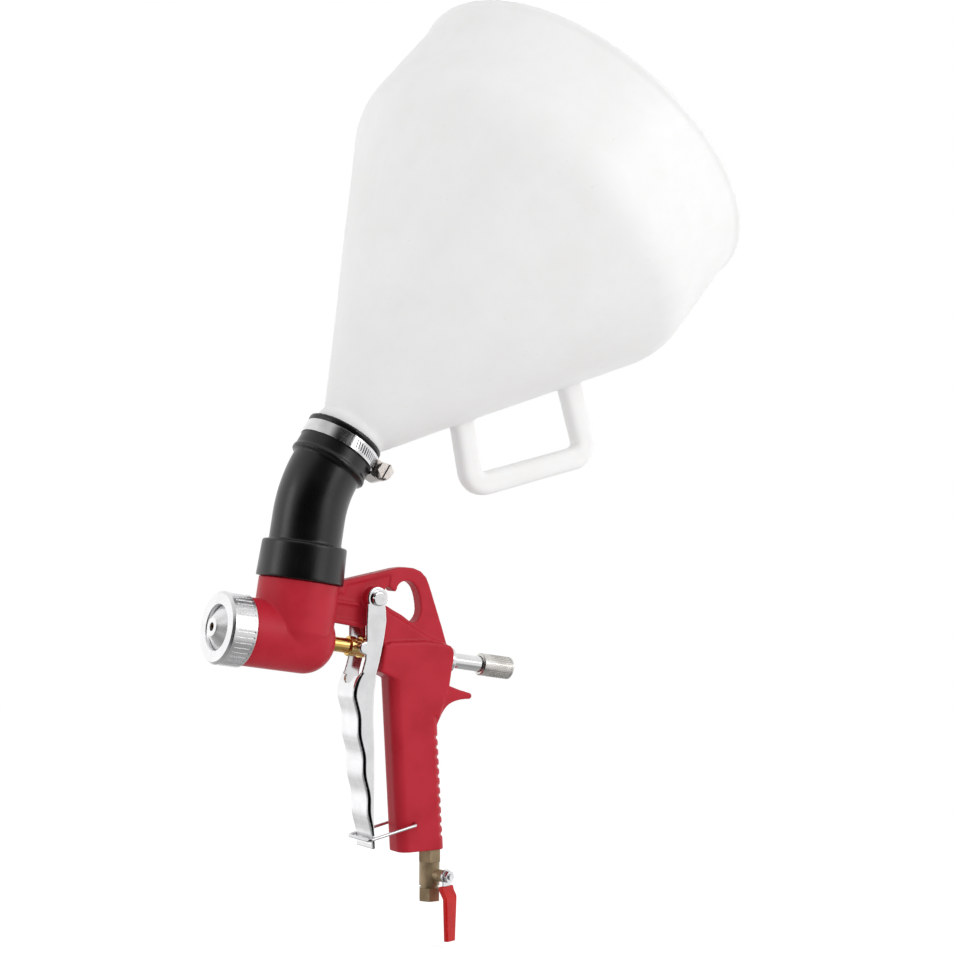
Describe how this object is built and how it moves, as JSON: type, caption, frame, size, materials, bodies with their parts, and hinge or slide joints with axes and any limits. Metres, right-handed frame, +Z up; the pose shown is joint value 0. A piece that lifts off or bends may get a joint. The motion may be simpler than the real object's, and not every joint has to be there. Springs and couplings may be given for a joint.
{
  "type": "hopper spray gun",
  "caption": "Air-operated hopper spray gun: cast gun with trigger-pulled air tube, screwed nozzle, rubber elbow, clamped gravity hopper with handle and a small ball valve at the air inlet",
  "frame": {"origin": "Centre of the air inlet mouth, on the axis of the female thread in the end piece of the ball valve", "axes": "+Z up along the feed port with the spray axis level, spray leaves toward -X, the adjuster points toward +X, Y = 0 is the plane of symmetry of the gun and hopper; the valve lever is on the -Y side"},
  "size_m": [0.311, 0.2432, 0.5732],
  "materials": {
    "red_casting": "satin red powder coat",
    "silver_ring": "bright machined",
    "silver_disc": "polished",
    "black_seal": "matte",
    "brass_tube": "bright turned brass",
    "brass_fitting": "plain brass",
    "white_seal": "smooth white fluoropolymer",
    "steel": "plain steel",
    "chrome": "bright plated",
    "trigger_metal": "polished, softly rounded",
    "red_sleeve": "glossy red dip",
    "black_rubber": "satin moulded rubber",
    "white_polyethylene": "milky, slightly translucent"
  },
  "bodies": {
    "gun": {"gun_body": "red_casting", "barrel_seal": "black_seal", "tube_packing": "white_seal", "gland_nut": "brass_fitting", "adjuster_housing": "chrome", "adjuster_oring": "black_seal", "pivot_screw": "steel", "pivot_nut": "steel", "valve_body": "brass_fitting", "valve_end": "brass_fitting", "ball_seat_upper": "white_seal", "ball_seat_lower": "white_seal", "stem_packing": "white_seal", "stem_gland": "brass_fitting", "return_spring": "steel"},
    "nozzle": {"nozzle_insert": "silver_disc", "nozzle_gasket": "black_seal"},
    "ring": {"nozzle_ring": "silver_ring"},
    "trigger_body": {"trigger": "trigger_metal"},
    "needle": {"air_tube": "brass_tube", "pull_collar": "brass_tube", "valve_seal": "black_seal"},
    "spring_stop": {"spring_seat": "steel"},
    "adjuster": {"adjuster_screw": "steel", "adjuster_knob": "chrome"},
    "bail": {"trigger_bail": "steel"},
    "valve_handle": {"valve_ball": "chrome", "valve_stem": "brass_fitting", "lever_strap": "steel", "lever_sleeve": "red_sleeve", "lever_nut": "steel"},
    "elbow_body": {"elbow": "black_rubber", "clamp_band": "steel", "clamp_housing": "steel"},
    "worm": {"clamp_screw": "steel"},
    "hopper_body": {"hopper": "white_polyethylene"}
  },
  "joints": [
    {"name": "trigger_pull", "type": "hinge", "parent": "gun", "child": "trigger_body", "pos_m": [-0.07322, 0, 0.17791], "axis": [0, -1, 0], "range_deg": [0, 7], "stiffness_Nm_per_rad": 1.2, "springref_deg": -14.32},
    {"name": "tube_slide", "type": "slide", "parent": "gun", "child": "needle", "axis": [1, 0, 0], "range_m": [0, 0.0042], "deforming": ["return_spring"]},
    {"name": "adjuster_turn", "type": "hinge", "parent": "spring_stop", "child": "adjuster", "pos_m": [-0.00202, 0, 0.1475], "axis": [-1, 0, 0], "range_deg": [0, 1080]},
    {"name": "adjuster_travel", "type": "slide", "parent": "gun", "child": "spring_stop", "axis": [-1, 0, 0], "range_m": [0, 0.0034], "deforming": ["return_spring"]},
    {"name": "nozzle_unscrew", "type": "slide", "parent": "gun", "child": "nozzle", "axis": [-1, 0, 0], "range_m": [0, 0.012]},
    {"name": "ring_turn", "type": "hinge", "parent": "nozzle", "child": "ring", "pos_m": [-0.16362, 0, 0.1475], "axis": [-1, 0, 0], "range_deg": [0, 2160]},
    {"name": "bail_swing", "type": "hinge", "parent": "gun", "child": "bail", "pos_m": [-0.02432, 0, 0.04591], "axis": [0, -1, 0], "range_deg": [0, 75]},
    {"name": "valve_lever", "type": "hinge", "parent": "gun", "child": "valve_handle", "pos_m": [-0.00252, 0, 0.0159], "axis": [0.2888, -0.9563, 0.0457], "range_deg": [0, 90]},
    {"name": "elbow_swivel", "type": "hinge", "parent": "gun", "child": "elbow_body", "pos_m": [-0.12202, 0, 0.19251], "axis": [0, 0, 1], "continuous": true},
    {"name": "clamp_worm", "type": "hinge", "parent": "elbow_body", "child": "worm", "pos_m": [-0.08267, -0.00502, 0.25259], "axis": [-0.1578, -0.9848, 0.0726], "continuous": true},
    {"name": "hopper_lift", "type": "slide", "parent": "elbow_body", "child": "hopper_body", "axis": [0.4179, 0, 0.9085], "range_m": [0, 0.045]}
  ],
  "couplings": [
    {"joint": "tube_slide", "follows": "trigger_pull", "m_per_rad": 0.0304},
    {"joint": "adjuster_travel", "follows": "adjuster_turn", "m_per_rad": 0.00015915},
    {"joint": "nozzle_unscrew", "follows": "ring_turn", "m_per_rad": 0.00031831}
  ]
}
